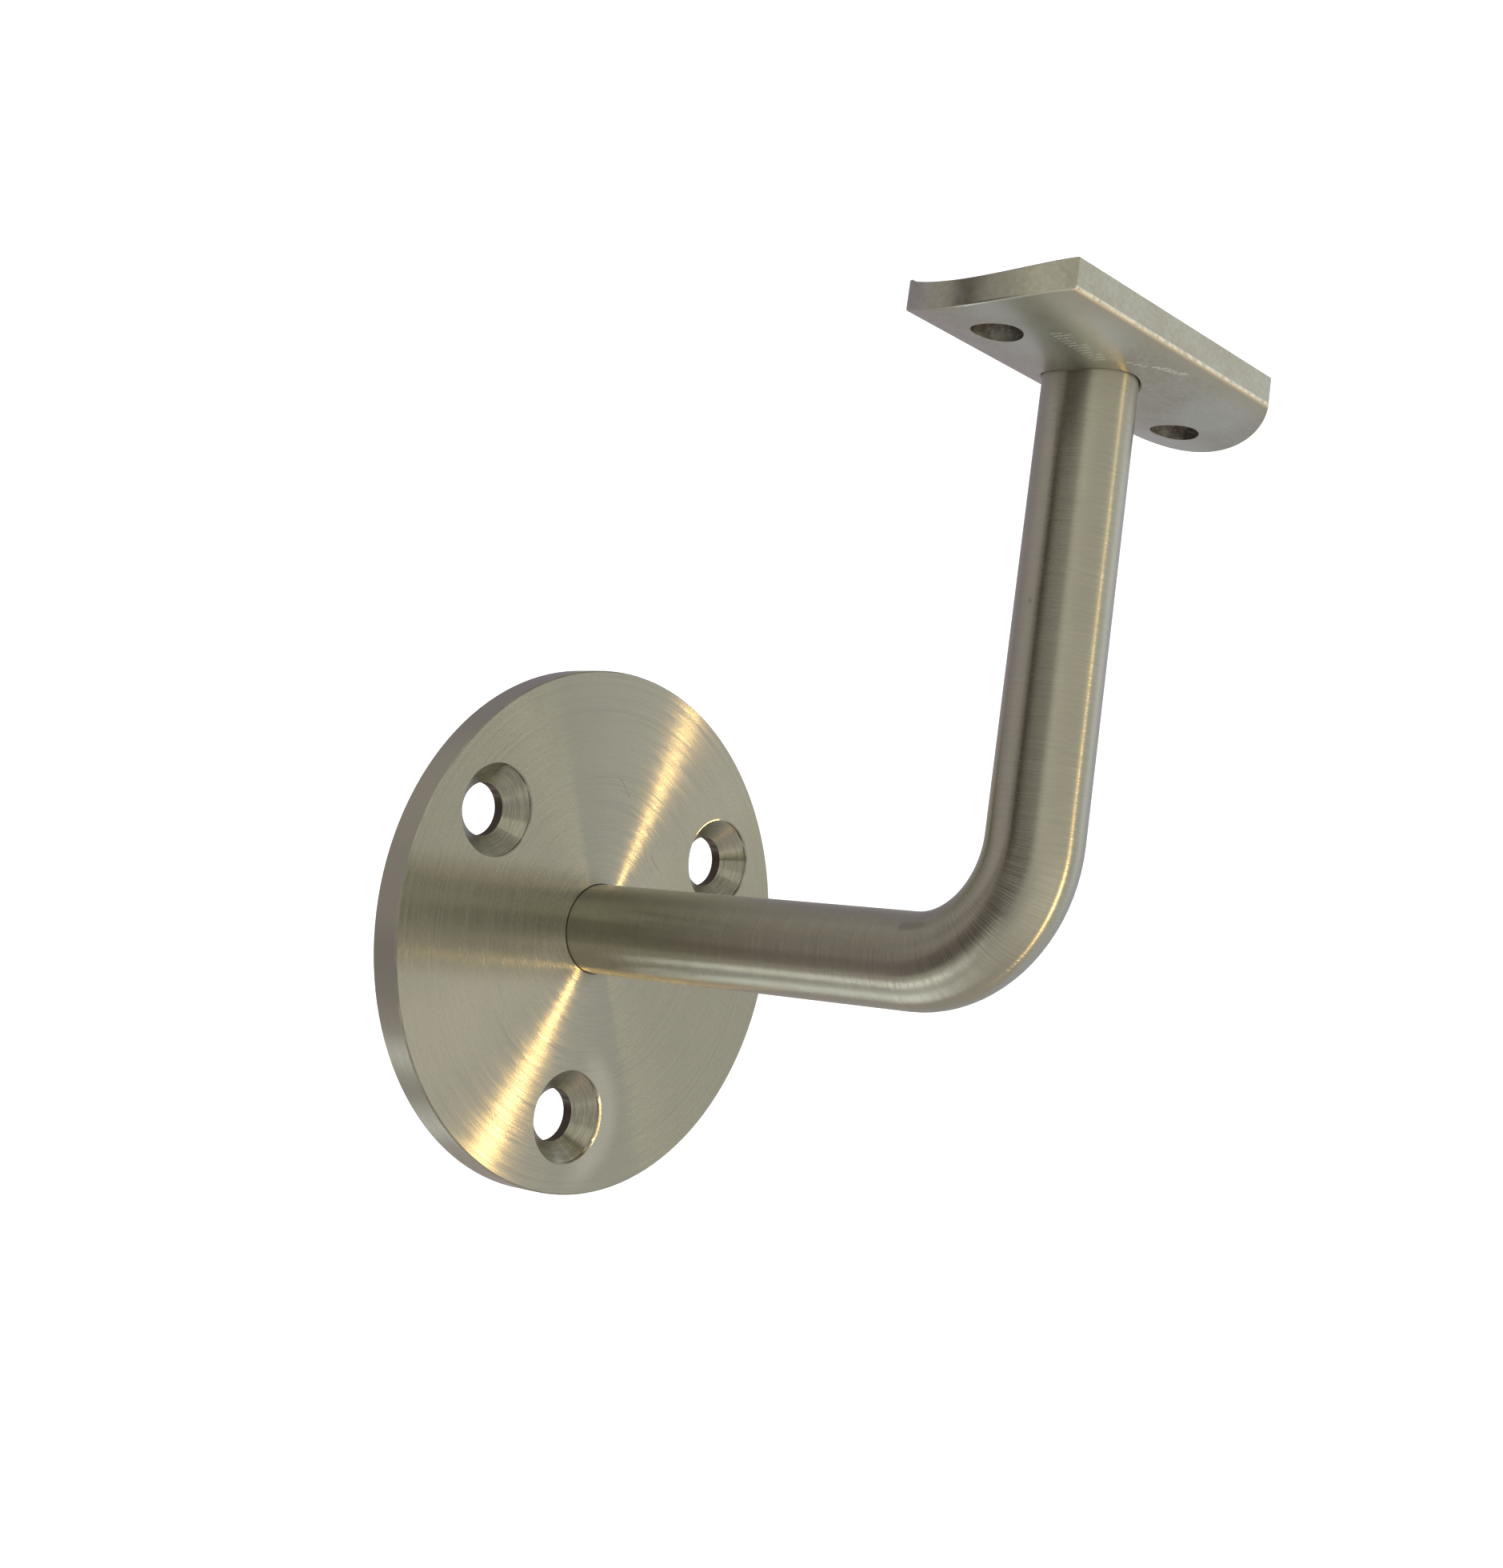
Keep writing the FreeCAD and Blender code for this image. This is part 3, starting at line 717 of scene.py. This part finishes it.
def saddle_edges(tree, place, normal, in_hole):
    """The rounded lower edges and the painted highlight beside them, as layers for worn_and_painted()."""
    y, z = split(tree, place)[1:]
    normal_y, normal_z = split(tree, normal)[1:]
    tilt = number(tree, "ABSOLUTE", product(tree, normal_y, normal_z))
    edge = product(tree, fade(tree, tilt, *EDGE_TILT), number(tree, "LESS_THAN", normal_z, 0.0))
    from_rail = vector(tree, "SUBTRACT", joined(tree, 0.0, y, z), (0.0, RISER_Y, RAIL_AXIS_Z))
    highlight_breaks = noise(tree, scaled(tree, place, HIGHLIGHT_BREAKS_PER_METRE), detail=3.0, roughness=0.7)
    painted_highlight = product(
        tree,
        fade(tree, number(tree, "ABSOLUTE", normal_y), *HIGHLIGHT_FACING),
        fade(tree, vector(tree, "LENGTH", from_rail), *HIGHLIGHT_BAND),
        number(tree, "SUBTRACT", 1.0, in_hole),
        fade(tree, highlight_breaks, *HIGHLIGHT_BREAK_SPAN, *HIGHLIGHT_BREAK_STRENGTH),
    )
    return (edge, shade(STEEL, EDGE_SHADE), EDGE_DULLING), (painted_highlight, PAINTED_HIGHLIGHT_TONE, HIGHLIGHT_DULLING)


def make_saddle_steel():
    """Satin saddle: faint lengthwise lines, grain, painted shade and sheen, strokes and a painted highlight.
    """
    material, tree, shader = new_steel("satin_saddle_steel", SADDLE_ANISOTROPY)
    place = object_place(tree)
    normal = surface_normal(tree)
    x, y, z = split(tree, place)
    lines = groove_lines(tree, cells(tree, (x, y, z), (LINE_LENGTH, LINE_PITCH, LINE_PITCH)))
    from_hole = nearest_axis(tree, joined(tree, x, y, 0.0), RAIL_HOLES)
    in_hole = number(tree, "LESS_THAN", from_hole, RAIL_HOLE_LIMIT)

    colour = satin_colour(tree, lines, place, SADDLE_CONTRAST)
    roughness = fade(tree, lines, *NOISE_SPAN, *SADDLE_ROUGHNESS)
    overlays = (
        # The holes' walls get painted shade.
        (in_hole, HOLE_SHADE_TONE, HOLE_SHADE_DULLING),
        *saddle_grain(tree, place),
        *painted_sheen_layers(tree, place, normal),
        strokes(tree, place),
        *saddle_edges(tree, place, normal, in_hole),
    )
    colour, roughness = worn_and_painted(tree, colour, roughness, overlays)
    direction = vector(tree, "CROSS_PRODUCT", normal, (1.0, 0.0, 0.0))
    finish_steel(tree, shader, colour, roughness, bumped_normal(tree, lines, SADDLE_BUMP), direction)
    return material


def make_weld_steel():
    """Weld metal ground flush: a fine even grain, duller than the rest."""
    material, tree, shader = new_steel("ground_weld_steel", WELD_ANISOTROPY)
    place = object_place(tree)
    lines = groove_lines(tree, scaled(tree, place, 1.0 / WELD_GRAIN))
    colour = satin_colour(tree, lines, place, WELD_CONTRAST)
    roughness = fade(tree, lines, *NOISE_SPAN, *WELD_ROUGHNESS)
    direction = vector(tree, "CROSS_PRODUCT", surface_normal(tree), WELD_DISC_RUN)
    finish_steel(tree, shader, colour, roughness, bumped_normal(tree, lines, WELD_BUMP), direction)
    return material


def dress_nodes():
    """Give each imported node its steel."""
    weld_steel = make_weld_steel()
    steels = {
        "wall_plate": make_plate_steel(),
        "arm": make_bar_steel(),
        "rail_saddle": make_saddle_steel(),
        "plate_weld": weld_steel,
        "saddle_weld": weld_steel,
    }
    for name, steel in steels.items():
        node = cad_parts[name]
        node.data.materials.clear()
        node.data.materials.append(steel)


def make_world():
    """A white background."""
    world = bpy.data.worlds.new("studio_world")
    world.use_nodes = True
    background = world.node_tree.nodes["Background"]
    feed(world.node_tree, background.inputs["Color"], WORLD_TONE)
    feed(world.node_tree, background.inputs["Strength"], WORLD_STRENGTH)
    bpy.context.scene.world = world


def studio_material(name, kind):
    """A material with one plain shader of a kind, for the staging: it, its tree and its colour socket."""
    material = bpy.data.materials.new(name)
    material.use_nodes = True
    tree = material.node_tree
    tree.nodes.remove(tree.nodes["Principled BSDF"])
    shader = tree.nodes.new(kind)
    tree.links.new(shader.outputs[0], tree.nodes["Material Output"].inputs["Surface"])
    return material, tree, shader.inputs["Color"]


def make_floor():
    """A plain white floor that keeps the bracket's soft shadow."""
    bpy.ops.mesh.primitive_plane_add(size=FLOOR_SIZE, location=(0, 0, FLOOR_HEIGHT))
    floor = bpy.context.object
    floor.name = "studio_floor"
    material, tree, colour = studio_material("pale_floor", "ShaderNodeBsdfDiffuse")
    feed(tree, colour, FLOOR_TONE)
    floor.data.materials.append(material)


def share_of_turn(degrees):
    """An angle from -180 to 180 degrees as a share from 0 to 1."""
    return degrees / 360 + 0.5


def turn_of(tree, first, second):
    """The angle from the second direction towards the first, as a share from 0 to 1."""
    return number(tree, "MULTIPLY_ADD", number(tree, "ARCTAN2", first, second), 1 / (2 * pi), 0.5)


def tone_row(tree, turn, tones):
    """A cloth's tone by the share of a turn, from a row of (degrees, tone) pairs that closes on itself."""
    ramp = tree.nodes.new("ShaderNodeValToRGB")
    tree.links.new(turn, ramp.inputs["Fac"])
    stops = ramp.color_ramp.elements
    while len(stops) < len(tones) + 1:
        stops.new(0.5)
    for stop, (degrees, tone) in zip(stops, (*tones, (180, tones[0][1]))):
        stop.position = share_of_turn(degrees)
        stop.color = (*tone, 1.0)
    return ramp.outputs["Color"]


def tent_cloth(tree, place, height):
    """The tent's five cloths, one above the other."""
    x, y = split(tree, place)[:2]
    turn = turn_of(tree, y, x)
    cloth = APRON_TONE
    for rise, next_cloth in (
        (APRON_TO_SKIRT, tone_row(tree, turn, SKIRT_TONES)),
        (SKIRT_TO_LEVEL, tone_row(tree, turn, LEVEL_TONES)),
        (LEVEL_TO_CEILING, tone_row(tree, turn, CEILING_TONES)),
        (CEILING_TO_CROWN, CROWN_TONE),
    ):
        cloth = mixed(tree, "RGBA", fade(tree, height, *rise), cloth, next_cloth)
    return cloth


def tent_strips(tree, place):
    """The strips' tone, and a mask that is 1 where they cover the cloth."""
    x, y, z = split(tree, place)
    roll = turn_of(tree, z, x)
    gain = fade(tree, y, *BRIGHT_STRETCH, BRIGHT_GAIN, 1.0)
    covered = product(
        tree,
        fade(tree, roll, *map(share_of_turn, STRIPS_ROLL_IN)),
        fade(tree, roll, *map(share_of_turn, STRIPS_ROLL_OUT), 1.0, 0.0),
        fade(tree, y, *STRIPS_FRONT),
        fade(tree, y, *STRIPS_BACK, 1.0, 0.0),
    )
    return scaled(tree, tone_row(tree, roll, STRIP_TONES), gain), covered


def make_tent():
    """A round tent about the bracket, down to the floor, that only the steel and the floor see."""
    bpy.ops.mesh.primitive_uv_sphere_add(
        segments=TENT_SEGMENTS,
        ring_count=TENT_SEGMENTS // 2,
        radius=TENT_RADIUS,
        location=(cad_low + cad_high) / 2,
    )
    tent = bpy.context.object
    tent.name = "studio_tent"
    tent.visible_camera = False
    material, tree, colour = studio_material("tent_cloth", "ShaderNodeEmission")
    place = object_place(tree)
    height = number(tree, "DIVIDE", split(tree, place)[2], TENT_RADIUS)
    strips, covered = tent_strips(tree, place)
    feed(tree, colour, mixed(tree, "RGBA", covered, tent_cloth(tree, place, height), strips))
    tent.data.materials.append(material)


def make_lamp():
    """One small warm lamp, low in front on the right, that draws the bright streaks."""
    centre = (cad_low + cad_high) / 2
    towards = Vector((
        cos(LAMP_ELEVATION) * cos(LAMP_AZIMUTH),
        cos(LAMP_ELEVATION) * sin(LAMP_AZIMUTH),
        sin(LAMP_ELEVATION),
    ))
    light = bpy.data.lights.new("streak_lamp", "AREA")
    light.shape = "DISK"
    light.size = 2 * LAMP_RADIUS
    light.energy = LAMP_POWER
    light.color = LAMP_COLOUR
    lamp = bpy.data.objects.new("streak_lamp", light)
    lamp.location = centre + towards * LAMP_DISTANCE
    lamp.rotation_mode = "QUATERNION"
    lamp.rotation_quaternion = (-towards).to_track_quat("-Z", "Y")
    bpy.context.scene.collection.objects.link(lamp)


def make_camera():
    """The photograph's camera, with its optical centre as a small shift."""
    forwards = Vector((
        -sin(CAMERA_YAW) * cos(CAMERA_PITCH),
        cos(CAMERA_YAW) * cos(CAMERA_PITCH),
        sin(CAMERA_PITCH),
    ))
    level = Vector((cos(CAMERA_YAW), sin(CAMERA_YAW), 0))
    upright = level.cross(forwards)
    right = cos(CAMERA_ROLL) * level + sin(CAMERA_ROLL) * upright
    upwards = -sin(CAMERA_ROLL) * level + cos(CAMERA_ROLL) * upright
    data = bpy.data.cameras.new("photo_camera")
    data.sensor_width = SENSOR
    data.lens = FOCAL_PIXELS * SENSOR / PHOTO_HEIGHT
    data.shift_x = (PHOTO_WIDTH / 2 - OPTICAL_CENTRE[0]) / PHOTO_HEIGHT
    data.shift_y = (OPTICAL_CENTRE[1] - PHOTO_HEIGHT / 2) / PHOTO_HEIGHT
    data.clip_start = 0.01
    data.clip_end = 100
    camera = bpy.data.objects.new("photo_camera", data)
    turned = Matrix((right, upwards, -forwards)).transposed().to_4x4()
    camera.matrix_world = Matrix.Translation(CAMERA_PLACE) @ turned
    bpy.context.scene.collection.objects.link(camera)
    bpy.context.scene.camera = camera


bpy.ops.object.select_all(action="DESELECT")
bpy.context.scene.view_settings.view_transform = "Standard"
dress_nodes()
make_world()
make_floor()
make_tent()
make_lamp()
make_camera()
